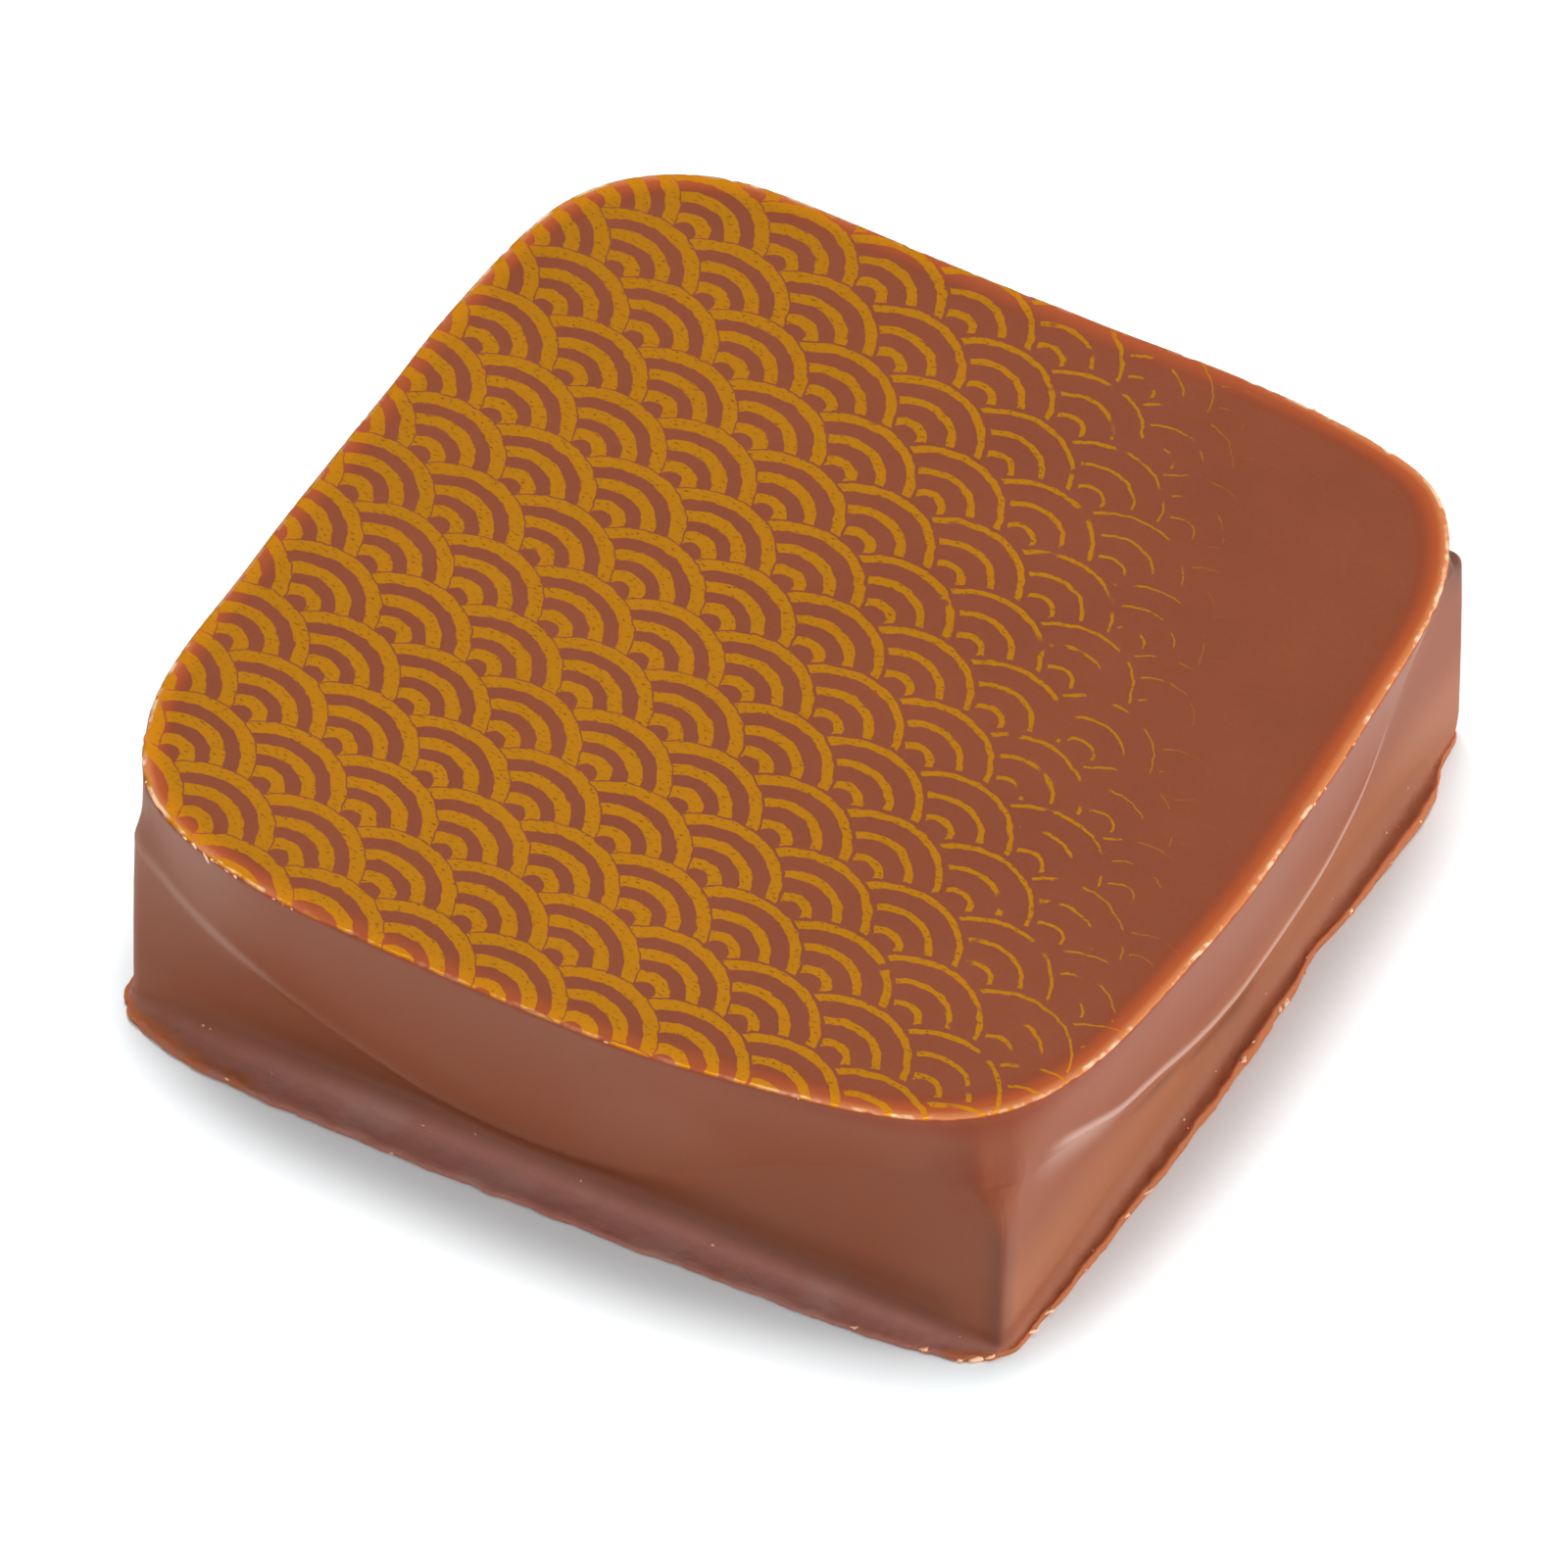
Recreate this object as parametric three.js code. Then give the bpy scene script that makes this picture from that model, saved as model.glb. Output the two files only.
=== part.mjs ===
// A moulded milk chocolate bonbon. A square block carries a wider flat top with rounded corners.
// The sides swell out from a curved crease, low in the middle of each wall and high at its ends,
// up to the rim of the top. The block's own four corners end in small tips under the rounded
// corners of the top, and a thin uneven foot spreads round the base.
import * as THREE from "three";
import { mergeVertices } from "three/addons/utils/BufferGeometryUtils.js";

// Driving dimensions, in millimetres
const height = 9.6; // from the surface it rests on to the flat top
const baseHalf = 15.1; // half the side of the square block at its base
const wallDraft = 0.09; // how far each wall leans in by the top of its corners
const edgeRadius = 0.25; // rounding of the block's upright edges
const tipHeight = 7.9; // height of the tips where the block's corners end
const creaseLow = 1.35; // height of the crease at the middle of each wall
const creaseRise = 5.5; // how far the crease has risen before it turns up to a tip
const creasePower = 2.2; // a higher power keeps the crease low for longer
const tipPower = 20; // a higher power makes the last turn of the crease up to a tip tighter
const neckRise = 0.35; // height of the neck above the crease, as a share of the way to the rim
const neckDepth = 0.25; // how far the neck pulls in above each tip
const neckPower = 9; // a higher power keeps the neck closer to the corners
const rimRound = 0.12; // rounding of the rim of the top

// The top's outline is a mean circle, with waves that square it and flatten its sides.
const topMean = 18.36;
const topSquaring = [
  { lobes: 4, reach: -1.83 },
  { lobes: 8, reach: 0.34 },
  { lobes: 12, reach: -0.07 },
];
// Slow unevenness of the outline: how far each wave reaches, and the way it faces in degrees
const topUneven = [
  { lobes: 1, reach: 0.15, facing: -138 },
  { lobes: 2, reach: 0.32, facing: 81.5 },
  { lobes: 3, reach: 0.21, facing: 9.5 },
  { lobes: 5, reach: 0.15, facing: -11.5 },
  { lobes: 6, reach: 0.1, facing: -2.5 },
  { lobes: 7, reach: 0.07, facing: 23.5 },
];

// The foot spreads past the walls. Its four walls are in the order +X, +Y, -X, -Y, and its
// corners follow them anticlockwise from +X+Y.
const footAtWall = [1, 1.1, 0.8, 1.75];
const footAtCorner = [0.05, 0.3, 0.15, 0.1];
const footFlatness = [4, 4, 2, 7]; // a higher power keeps the spread longer along the wall
const footCornerRadius = 0.9;
const footEdge = 0.3; // height of the foot's outer edge
const footShoulder = 0.6; // height of the bend between the foot and the wall
const footRoot = 1.2; // height at which the foot leaves the wall
const footWaves = [
  { lobes: 9, reach: 0.06, facing: 12 },
  { lobes: 17, reach: 0.05, facing: 3 },
  { lobes: 31, reach: 0.04, facing: 7 },
];

const segments = 240; // steps round the body, a multiple of 8 so that one falls on each corner
const crowding = 0.8; // share of the steps that gathers towards the corners
const weld = 1e-4; // vertices closer than this are one
const quarter = Math.PI / 2;

function waves(list, angle) {
  const reaches = list.map(({ lobes, reach, facing = 0 }) => {
    return reach * Math.cos(lobes * (angle - THREE.MathUtils.degToRad(facing)));
  });
  return reaches.reduce((sum, reach) => sum + reach, 0);
}

// How far along its wall the angle points: 0 at the middle of the wall, 1 at the corner.
function alongWall(angle) {
  const [low, high] = [Math.abs(Math.cos(angle)), Math.abs(Math.sin(angle))].sort((a, b) => a - b);
  return low / high;
}

// Radius of a square with rounded corners in the direction of the angle.
function squareRadius(angle, half, radius) {
  const across = Math.cos(Math.atan(alongWall(angle)));
  const along = across * alongWall(angle);
  const centre = half - radius;
  if (along * half <= across * centre) return half / across;
  const reach = centre * (along + across);
  return reach + Math.sqrt(reach ** 2 - 2 * centre ** 2 + radius ** 2);
}

function wallRadius(angle, z) {
  return squareRadius(angle, baseHalf - (wallDraft * z) / tipHeight, edgeRadius);
}

function topRadius(angle) {
  return topMean + waves(topSquaring, angle) + waves(topUneven, angle);
}

function creaseHeight(angle) {
  const along = alongWall(angle);
  const turn = tipHeight - creaseLow - creaseRise;
  return creaseLow + creaseRise * along ** creasePower + turn * along ** tipPower;
}

function footRadius(angle) {
  const wall = Math.round(angle / quarter) % footAtWall.length;
  const corner = Math.floor(angle / quarter) % footAtCorner.length;
  const atCorner = alongWall(angle) ** footFlatness[wall];
  const spread = THREE.MathUtils.lerp(footAtWall[wall], footAtCorner[corner], atCorner);
  const uneven = waves(footWaves, angle) * (1 - atCorner);
  return squareRadius(angle, baseHalf + spread + uneven, footCornerRadius);
}

// Each ring gives the radius and the height of the surface at an angle, from the base to the top.
function footRing(share, z) {
  return (angle) => [THREE.MathUtils.lerp(wallRadius(angle, z), footRadius(angle), share), z];
}

function creaseRing(angle) {
  const z = creaseHeight(angle);
  return [wallRadius(angle, z), z];
}

function neckRing(angle) {
  const [radius, z] = creaseRing(angle);
  const pull = neckDepth * alongWall(angle) ** neckPower;
  const straight = THREE.MathUtils.lerp(radius, topRadius(angle), neckRise);
  return [straight - pull, THREE.MathUtils.lerp(z, height - rimRound, neckRise)];
}

const rings = [
  () => [0, 0],
  footRing(0.9, 0),
  footRing(1, footEdge / 2),
  footRing(0.95, footEdge),
  footRing(0.45, footShoulder),
  footRing(0, footRoot),
  creaseRing,
  neckRing,
  (angle) => [topRadius(angle), height - rimRound],
  (angle) => [topRadius(angle) - rimRound, height],
  () => [0, height],
];

// The rings are turned into one closed body, whose steps gather at the block's upright edges.
function ringedBody() {
  const profile = rings.map((ring, k) => new THREE.Vector2(...ring(0)).setY(k));
  const geometry = new THREE.LatheGeometry(profile, segments);
  geometry.deleteAttribute("normal");
  geometry.deleteAttribute("uv");
  const position = geometry.getAttribute("position");
  for (let i = 0; i < position.count; i++) {
    const step = Math.floor(i / rings.length) % segments;
    const even = (4 * quarter * step) / segments;
    const angle = even + (crowding * Math.sin(4 * even)) / 4;
    const [radius, z] = rings[i % rings.length](angle);
    position.setXYZ(i, radius * Math.cos(angle), radius * Math.sin(angle), z);
  }
  return mergeVertices(geometry, weld);
}

const geometry = ringedBody();

// The origin is on the resting surface, under the middle of the bonbon's outer size.
geometry.computeBoundingBox();
const middle = geometry.boundingBox.getCenter(new THREE.Vector3());
geometry.translate(-middle.x, -middle.y, 0);
geometry.computeVertexNormals();

const milkChocolate = new THREE.MeshStandardMaterial({ color: 0x91503a, roughness: 0.42, metalness: 0 });
const body = new THREE.Mesh(geometry, milkChocolate);
body.name = "chocolate_body";

const group = new THREE.Group();
group.add(body);

export default group;
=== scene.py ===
import math
import random
import bmesh
import bpy
import numpy as np
from mathutils import Matrix, Vector, noise


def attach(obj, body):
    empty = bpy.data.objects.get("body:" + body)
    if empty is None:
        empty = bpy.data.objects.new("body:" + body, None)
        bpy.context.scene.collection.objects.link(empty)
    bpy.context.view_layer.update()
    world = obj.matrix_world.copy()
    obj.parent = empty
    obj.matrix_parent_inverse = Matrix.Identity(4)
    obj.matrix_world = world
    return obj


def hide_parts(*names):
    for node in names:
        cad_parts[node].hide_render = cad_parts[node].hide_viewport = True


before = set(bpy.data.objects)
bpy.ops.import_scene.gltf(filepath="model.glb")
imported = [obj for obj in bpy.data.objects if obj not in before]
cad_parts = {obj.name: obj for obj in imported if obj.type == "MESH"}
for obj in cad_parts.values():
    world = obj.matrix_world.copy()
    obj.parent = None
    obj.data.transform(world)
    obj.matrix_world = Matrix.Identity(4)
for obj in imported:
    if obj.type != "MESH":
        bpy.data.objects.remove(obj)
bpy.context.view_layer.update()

mm = 0.001
quarter = math.pi / 2


# Shape of the bonbon, in millimetres round the middle of its square block.
# Where four values are given, they are for the right, far, left and near corner.
bonbon = {
    "blockMiddle": (-0.078, 0.2185),  # where the block's middle is in the part's frame
    "height": 9.6,
    "blockHalf": 15.13,
    "draft": 0.09,  # how far the block's walls lean in on the way up
    "cornerDraft": (0, 0, -0.11, 0),  # added to it at the corners
    "tipHeight": (7.9, 7.9, 7.4, 7.0),
    "cornerRound": (0.3, 0.4, 0.52, 0.22),  # rounding of the upright edges
    "tipRound": (0.45, 0.6, 0.6, 1.3),  # their rounding at the tips
    "tipFrom": 5,  # height at which it starts to change towards that
    "tipRoll": (0.4, 0.5, 0.9, 1.0),  # how far down the tips start to roll in
    "tipIn": (0.35, 0.35, 0.0, 0.1),
    "tipEase": (1, 1, 1.3, 1.3),  # a higher power makes the turn above the tip softer
    "neckDepth": (0.15, 0.15, 0.12, 0.0),  # how far the walls pull in above the tips
    "rimRound": 0.09,
    "rimNick": 0.04,  # depth of the small nicks along the rim
    "nickReach": 0.3,  # how far they go down the side and in over the top
    "dent": 0.03,  # depth of the sides' slow unevenness
    "dentSize": 5,
    "topMean": 18.36,
    "topWaves": (  # lobes, reach and the way each faces in degrees
        (4, -1.83, 0), (8, 0.34, 0), (12, -0.07, 0), (1, 0.15, -138), (2, 0.32, 81.5),
        (3, 0.21, 9.5), (5, 0.15, -11.5), (6, 0.1, -2.5), (7, 0.07, 23.5),
    ),
    "topBulges": (  # small bulges of the outline: direction and width in degrees, and depth
        (49, 5, 0.2), (91, 8, 0.12), (124, 6, 0.15), (145, 5, -0.1), (159, 6, 0.12), (208, 8, 0.1),
        (221, 6, -0.12), (233, 7, -0.22),
    ),
    "steps": 960,  # steps round the body
    "crowding": 0.72,  # share of them that gathers at the corners
}

# The walls, each with what changes along it: pairs of a place, from one corner to the next
# anticlockwise, and the value there. The fold is where the swelling starts, with a hollow under it.
walls = {
    "right": {
        "fold": ((-15.1, 7.0), (-13.8, 7.0), (-12.8, 6.85), (-11.2, 6.1), (-7.9, 4.35), (-5.3, 3.6),
                 (-3.4, 2.95), (-1.8, 2.5), (0.1, 2.2), (2.2, 2.25), (4.3, 2.45), (5.6, 2.65), (6.6, 3.0),
                 (7.6, 3.4), (8.4, 3.95), (9.6, 5.1), (10.4, 6.2), (11.3, 7.0), (12.5, 7.5), (15.1, 7.9)),
        "swell": ((-14, 0), (-11, 0.03), (-8, 0.1), (-4, 0.14), (5, 0.13), (9, 0.1), (12, 0.04), (14, 0)),
        "hollow": ((-15, 0.5), (-9, 0.3), (9, 0.22), (15, 0.5)),
        "ridge": ((-13, 0), (-11, 0.04), (-8, 0.055), (9, 0.05), (12, 0.04), (13.5, 0)),
        "ridgeWidth": ((-13, 0.35), (-9.5, 0.3), (-8, 0.3), (0, 0.34), (11, 0.32), (13, 0.3)),
        "groove": ((-9, 0), (-8, 0.07), (-5, 0.08), (0.5, 0.06), (2.5, 0)),
        "spread": ((-15.1, 0.15), (-14.2, 0.24), (-13, 0.32), (-12, 0.42), (-9.8, 0.55), (-7.1, 0.68),
                   (-4.9, 0.78), (-2.4, 0.81), (-1, 0.83), (0, 0.8), (0.9, 0.8), (1.4, 0.68), (1.9, 0.72),
                   (2.4, 0.8), (2.9, 0.72), (3.6, 0.52), (4.4, 0.48), (5.5, 0.62), (6.5, 0.68), (8.7, 0.83),
                   (10.2, 0.88), (11.8, 0.66), (12.5, 0.45), (13, 0.26), (14.2, 0.12), (15.1, 0.05)),
        "lip": ((-15.1, 0.22), (-9, 0.35), (-2, 0.45), (0, 0.6), (2, 0.45), (5, 0.35), (10.4, 0.6),
                (13, 0.3)),
        "root": ((-15.1, 0.8), (-9, 1.1), (-2, 1.3), (0, 1.4), (3, 1.3), (10.4, 1.5), (13, 1.0)),
        "band": ((-14, 0), (-12, 0.04), (-8, 0.05), (-3, 0.02), (0, 0)),
        "warm": 1.0, "glow": 1.0,
    },
    "back": {
        "fold": ((-15.1, 7.9), (-12.5, 7.3), (-10.8, 6.0), (-9, 4.3), (-7, 2.9), (-4, 2.1), (0, 1.8),
                 (4, 2.1), (7.5, 3.2), (10, 4.7), (12.5, 6.3), (15.1, 7.9)),
        "swell": ((-14, 0), (-10, 0.1), (-5, 0.25), (2, 0.3), (8, 0.15), (13, 0)),
        "hollow": ((-12, 0.4), (-4, 0.7), (3, 0.8), (9, 0.7), (15, 0.5)),
        "ridge": ((-12, 0), (-8, 0.05), (6, 0.04), (10, 0)),
        "ridgeWidth": ((-12, 0.1), (0, 0.12), (10, 0.25)),
        "groove": ((-6, 0), (-4, 0.05), (2, 0.05), (5, 0)),
        "spread": ((-15.1, 0.05), (-13.5, 0.4), (-11, 0.8), (-7, 1.05), (-4, 1.0), (-2, 0.85), (0, 0.9),
                   (3, 1.15), (5, 1.2), (8, 1.0), (11, 0.85), (13.5, 0.6), (15.1, 0.2)),
        "lip": ((-15.1, 0.3), (-8, 0.4), (2, 0.3), (9, 0.45), (15.1, 0.3)),
        "root": ((-15.1, 1.0), (-6, 1.3), (3, 1.2), (10, 1.3), (15.1, 0.9)),
        "band": 0, "warm": 0.6, "glow": 0.6,
    },
    "left": {
        "fold": ((-15.1, 7.9), (-12.5, 6.3), (-10, 4.5), (-7, 3.0), (-3, 2.0), (1, 1.8), (5, 2.1), (8, 3.0),
                 (10.7, 4.2), (12.8, 5.7), (14, 6.6), (15.1, 7.4)),
        "swell": ((-13, 0), (-9, 0.12), (-3, 0.3), (3, 0.3), (8, 0.18), (12, 0.02)),
        "hollow": ((-14, 0.5), (-8, 0.7), (0, 0.9), (6, 0.8), (12, 0.5)),
        "ridge": ((-11, 0), (-6, 0.04), (5, 0.05), (12, 0.05), (14.5, 0)),
        "ridgeWidth": ((-11, 0.2), (0, 0.14), (9, 0.2), (14, 0.3)),
        "groove": ((-5, 0), (-2, 0.05), (3, 0.05), (6, 0)),
        "spread": ((-15.1, 0.2), (-13.5, 0.5), (-11, 0.75), (-7, 0.95), (-4, 0.9), (-1.5, 0.75), (1, 0.95),
                   (4, 1.0), (7, 0.85), (10, 0.6), (13, 0.35), (15.1, 0.3)),
        "lip": ((-15.1, 0.3), (-6, 0.45), (2, 0.35), (10, 0.4), (15.1, 0.36)),
        "root": ((-15.1, 0.9), (-6, 1.3), (3, 1.2), (10, 1.2), (15.1, 0.8)),
        "band": 0, "warm": 0.6, "glow": 0.6,
    },
    "front": {
        "fold": ((-15.1, 7.4), (-14.5, 6.9), (-13.8, 6.15), (-12.8, 5.2), (-12.1, 4.75), (-11.4, 4.35),
                 (-10.7, 4.0), (-10, 3.73), (-9.3, 3.47), (-8, 3.05), (-5.9, 2.5), (-4.5, 2.15), (-3, 1.95),
                 (-1.8, 1.9), (-0.4, 1.95), (1, 2.1), (2.3, 2.3), (4.4, 3.0), (7.7, 4.9), (11, 6.3),
                 (13.0, 6.9), (15.1, 7.0)),
        "swell": ((-12.5, 0), (-10.5, 0.1), (-8, 0.25), (-5, 0.4), (0, 0.44), (3, 0.36), (6, 0.16),
                  (9, 0.04), (12, 0)),
        "hollow": ((-11, 0.4), (-9, 0.6), (-6, 0.9), (-3, 1.0), (2, 1.1), (6, 1.6), (9, 2.0)),
        "ridge": ((-15, 0.015), (-14.3, 0.022), (-12, 0.026), (-11, 0.022), (-9.5, 0.012), (0, 0.008),
                  (4, 0)),
        "ridgeWidth": ((-14, 0.35), (-11, 0.4), (-9, 0.4), (0, 0.4)),
        "groove": ((-10.8, 0), (-9.5, 0.02), (-7, 0.02), (-4, 0)),
        "spread": ((-15.1, 0.2), (-14.8, 0.34), (-14.1, 0.6), (-13.2, 0.9), (-12.1, 1.22), (-11.2, 1.4),
                   (-10.4, 1.47), (-8.5, 1.58), (-5, 1.63), (-1.7, 1.56), (3, 1.52), (5, 1.38), (8.3, 1.33),
                   (11.5, 1.08), (13.3, 0.78), (14.3, 0.32), (15.1, 0.15)),
        "lip": ((-15.1, 0.36), (-13, 0.36), (-8, 0.32), (5, 0.25), (15.1, 0.22)),
        "root": ((-15.1, 0.8), (-11, 1.2), (-4, 1.25), (5, 1.15), (15.1, 0.8)),
        "warm": ((-15, 0.8), (-12, 0.5), (-9, 0.3), (-5, 0.08), (12, 0.05), (14.5, 0.7)),
        "band": 0, "glow": 0.5,
    },
}
foot = {"cornerRound": 0.9, "bend": 3.2, "rough": 0.06, "roughSize": 0.55, "burr": 0.07, "burrSize": 0.9}

# How far under the fold the groove and the band lie; the groove's in widths of the ridge
underFold = {"groove": 2.3, "band": 0.6, "bandWidth": 0.25}


def along(angle):
    # 0 at the middle of a wall and 1 at its corner
    low = np.minimum(np.abs(np.cos(angle)), np.abs(np.sin(angle)))
    return low / np.maximum(np.abs(np.cos(angle)), np.abs(np.sin(angle)))


def smooth(share):
    share = np.clip(share, 0, 1)
    return share * share * (3 - 2 * share)


def byCorner(key, angle):
    return np.take(bonbon[key], np.floor(angle / quarter).astype(int) % 4)


def byWall(key, angle, soften=0.5):
    # a wall's value where the direction meets the wall, smoothed over a short stretch
    facing = np.round(angle / quarter)
    at = np.tan(angle - facing * quarter) * bonbon["blockHalf"]
    value = np.zeros_like(angle)
    for k, wall in enumerate(walls):
        if isinstance(walls[wall][key], tuple):
            places, values = zip(*walls[wall][key])
            steps = np.linspace(-soften, soften, 7)
            here = np.mean([np.interp(at + step, places, values) for step in steps], axis=0)
        else:
            here = walls[wall][key]
        value = np.where(facing.astype(int) % 4 == k, here, value)
    return value


def squareRadius(angle, half, rounding):
    across = np.cos(np.arctan(along(angle)))
    beside = across * along(angle)
    centre = half - rounding
    reach = centre * (beside + across)
    bent = reach + np.sqrt(np.maximum(reach ** 2 - 2 * centre ** 2 + rounding ** 2, 0))
    return np.where(beside * half <= across * centre, half / across, bent)


def topRadius(angle):
    waves = sum(reach * np.cos(lobes * (angle - math.radians(facing)))
                for lobes, reach, facing in bonbon["topWaves"])
    degrees = np.degrees(angle) % 360
    bulges = sum(depth * np.exp(-((degrees - facing) / width) ** 2)
                 for facing, width, depth in bonbon["topBulges"])
    return bonbon["topMean"] + waves + bulges


def foldHeight(angle):
    # the fold meets the tips at the corners
    nearTip = smooth((along(angle) - 0.965) / 0.035)
    return byWall("fold", angle) * (1 - nearTip) + byCorner("tipHeight", angle) * nearTip


def wallRadius(angle, z):
    low = bonbon["tipFrom"]
    rise = np.clip((z - low) / (byCorner("tipHeight", angle) - low), 0, 1)
    rounding = byCorner("cornerRound", angle) * (1 - rise ** 2) + byCorner("tipRound", angle) * rise ** 2
    draft = bonbon["draft"] + byCorner("cornerDraft", angle) * along(angle) ** 6
    return squareRadius(angle, bonbon["blockHalf"] - draft * z / bonbon["height"], rounding)


def sideRadius(angle, z):
    fold = foldHeight(angle)
    rimLow = bonbon["height"] - bonbon["rimRound"]
    wall = wallRadius(angle, np.minimum(z, fold))
    swell = byWall("swell", angle)
    # the tips roll in at their tops
    nearTip = smooth((along(angle) - 0.94) / 0.05)
    roll = byCorner("tipRoll", angle)
    rolled = np.clip((z - fold + roll) / roll, 0, 1)
    wall = wall - byCorner("tipIn", angle) * (1 - np.sqrt(1 - rolled ** 2)) * nearTip
    # the hollow, then the swelling up to the rim
    rise = np.clip((z - fold) / (rimLow - fold), 0, 1)
    rise = rise ** (1 + (byCorner("tipEase", angle) - 1) * smooth((along(angle) - 0.6) / 0.35))
    out = swell * smooth((z - fold) / byWall("hollow", angle) + 1)
    radius = (wall + out) * (1 - rise) + topRadius(angle) * rise
    radius = radius - byCorner("neckDepth", angle) * along(angle) ** 9 * np.sin(np.pi * rise ** 0.7) ** 2
    return radius + foldLine(angle, z)


def foldLine(angle, z):
    # a ridge along the fold, a groove under it and a soft band under that
    under, width = foldHeight(angle) - z, byWall("ridgeWidth", angle)
    ridge = byWall("ridge", angle) * np.exp(-(under / width) ** 2)
    groove = byWall("groove", angle) * np.exp(-(under / width - underFold["groove"]) ** 2)
    band = byWall("band", angle) * np.exp(-((under - underFold["band"]) / underFold["bandWidth"]) ** 2)
    return ridge - groove + band


def footPlace(angle, share):
    # the foot's upper surface, from its root on the wall at 0 to its outer edge at 1
    lip, root = byWall("lip", angle), byWall("root", angle)
    ways = [Vector((math.cos(turn), math.sin(turn), 0.2)) for turn in angle]
    burr = np.array([noise.noise(way * 15 / foot["burrSize"]) for way in ways])
    spread = byWall("spread", angle, 0.2)
    spread = spread + burr * foot["burr"] * np.minimum(spread * 1.5, 1)
    z = lip + (root - lip) * (1 - share) ** foot["bend"]
    outer = squareRadius(angle, bonbon["blockHalf"] + spread, foot["cornerRound"])
    return sideRadius(angle, z) * (1 - share) + outer * share, z


def bodyRings(angle):
    # each ring is a radius, a height, how far it is from the nearest thin edge, and how far out on
    # the foot
    height, rimRound = bonbon["height"], bonbon["rimRound"]
    rimLow = height - rimRound
    flat = np.ones_like(angle)
    rings = []
    edge, lip = footPlace(angle, 1.0)
    base = footPlace(angle, 0.94)[0]
    for inset in (3, 1.2, 0.5, 0.2, 0.06):
        rings.append((base - inset, 0 * flat, inset * flat, flat))
    for share, level in ((0.94, 0), (0.97, 0.12), (0.99, 0.3), (1.0, 0.55), (0.99, 0.8), (0.96, 0.96)):
        rings.append((footPlace(angle, share)[0], lip * level, 0 * flat, flat))
    for share in (0.91, 0.85, 0.78, 0.7, 0.62, 0.54, 0.46, 0.38, 0.3, 0.22, 0.15, 0.08, 0.0):
        radius, z = footPlace(angle, share)
        rings.append((radius, z, (1 - share) * (edge - radius), share * flat))
    fold, hollow, root = foldHeight(angle), byWall("hollow", angle), byWall("root", angle)
    low = np.maximum(fold - hollow, root + 0.1)
    for share in (0.2, 0.45, 0.75, 1.0):
        z = root + (low - root) * share
        rings.append((sideRadius(angle, z), z, z, 0 * flat))
    for share in (0.16, 0.3, 0.42, 0.54, 0.64, 0.74, 0.83, 0.92, 1.0):
        z = low + (fold - low) * share
        rings.append((sideRadius(angle, z), z, np.minimum(z, height - z), 0 * flat))
    room = np.minimum((rimLow - fold) / 2.2, 1)
    for over in (0.03, 0.06, 0.1, 0.15, 0.22, 0.32, 0.46, 0.65, 0.9):
        z = fold + over * room
        rings.append((sideRadius(angle, z), z, np.minimum(z, height - z), 0 * flat))
    start = fold + 0.9 * room
    for share in (0.1, 0.22, 0.36, 0.5, 0.64, 0.77, 0.88, 0.95, 0.985):
        z = start + (rimLow - start) * share
        rings.append((sideRadius(angle, z), z, height - z, 0 * flat))
    top = topRadius(angle)
    for k in range(6):
        turn = k / 5 * quarter
        radius = top - rimRound * (1 - math.cos(turn))
        rings.append((radius, (rimLow + rimRound * math.sin(turn)) * flat, 0 * flat, 0 * flat))
    for inset in (0.05, 0.12, 0.22, 0.36, 0.55, 0.8, 1.15, 1.7, 2.6, 4.5, 8.5):
        rings.append((top - rimRound - inset, height * flat, inset * flat, 0 * flat))
    return rings


def uneven(place, edgeFar, share):
    # small dents and roughness, as a move out and a move up
    if share > 0:
        rough = foot["rough"] * share
        out = noise.fractal(place / foot["roughSize"], 0.7, 2.1, 4) * rough
        up = noise.fractal(place / foot["roughSize"] + Vector((5, 2, 9)), 0.8, 2.1, 3) * rough * 0.7
        return out, up if share < 0.97 else 0
    out = noise.noise(place / bonbon["dentSize"] + Vector((7, 3, 1))) * bonbon["dent"]
    reach = bonbon["nickReach"]
    if place.z > bonbon["height"] - reach and edgeFar < reach:
        nick = noise.noise(place / 0.35) + 0.6 * noise.noise(place / 1.3)
        out -= max(0, nick - 0.15) * bonbon["rimNick"] * (1 - edgeFar / reach) * 2
    return out, 0


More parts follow.
